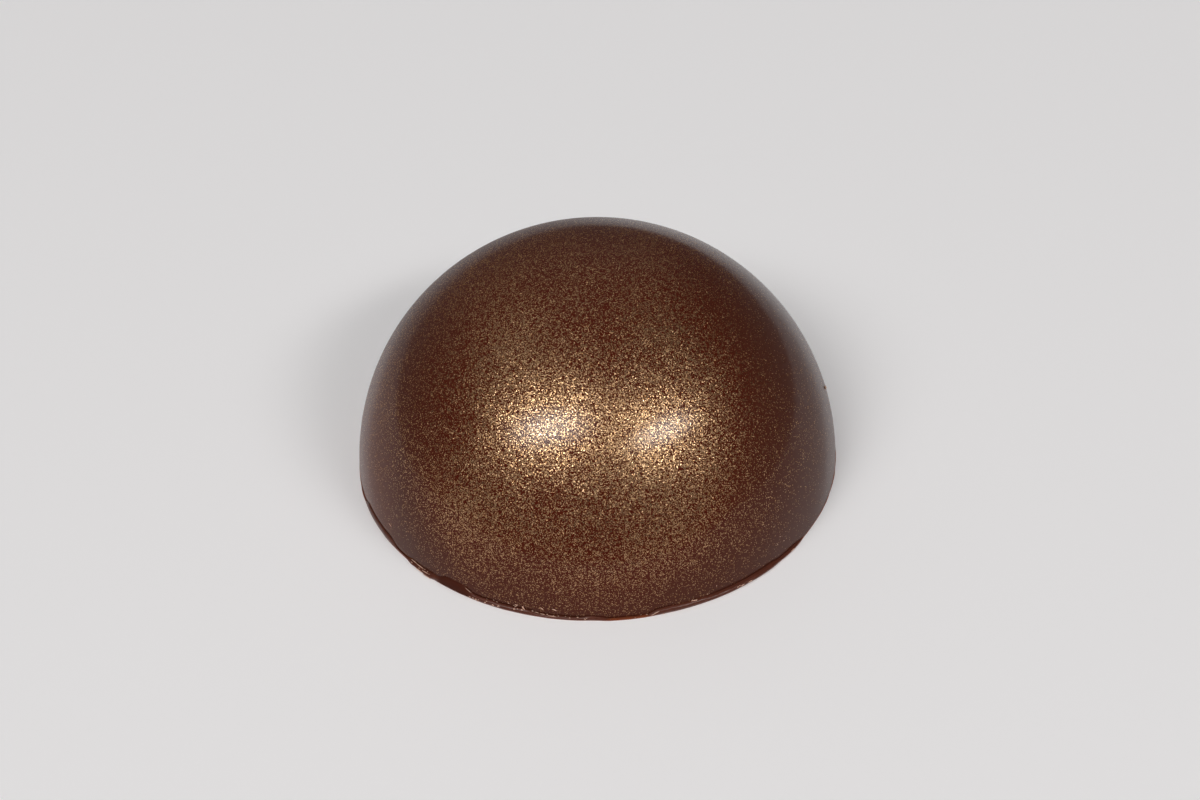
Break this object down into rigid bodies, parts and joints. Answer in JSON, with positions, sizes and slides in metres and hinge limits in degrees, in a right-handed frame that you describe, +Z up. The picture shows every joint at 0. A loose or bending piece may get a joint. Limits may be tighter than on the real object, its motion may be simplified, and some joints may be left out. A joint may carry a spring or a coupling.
{
  "type": "chocolate praline",
  "caption": "Half-sphere chocolate praline with a gold-dusted dome on a thin flat capping layer whose bare, uneven edge shows round the rim.",
  "frame": {"origin": "middle of the flat underside, where the praline rests", "axes": "+Z up through the top of the dome; -Y is the front, the side of the rim with the bare patch; +X to the right seen from the front"},
  "size_m": [0.0302, 0.0302, 0.015],
  "materials": {
    "dusted_chocolate": "satin",
    "bare_chocolate": "satin"
  },
  "bodies": {
    "root": {"dusted_dome": "dusted_chocolate", "base_layer": "bare_chocolate"}
  },
  "joints": []
}
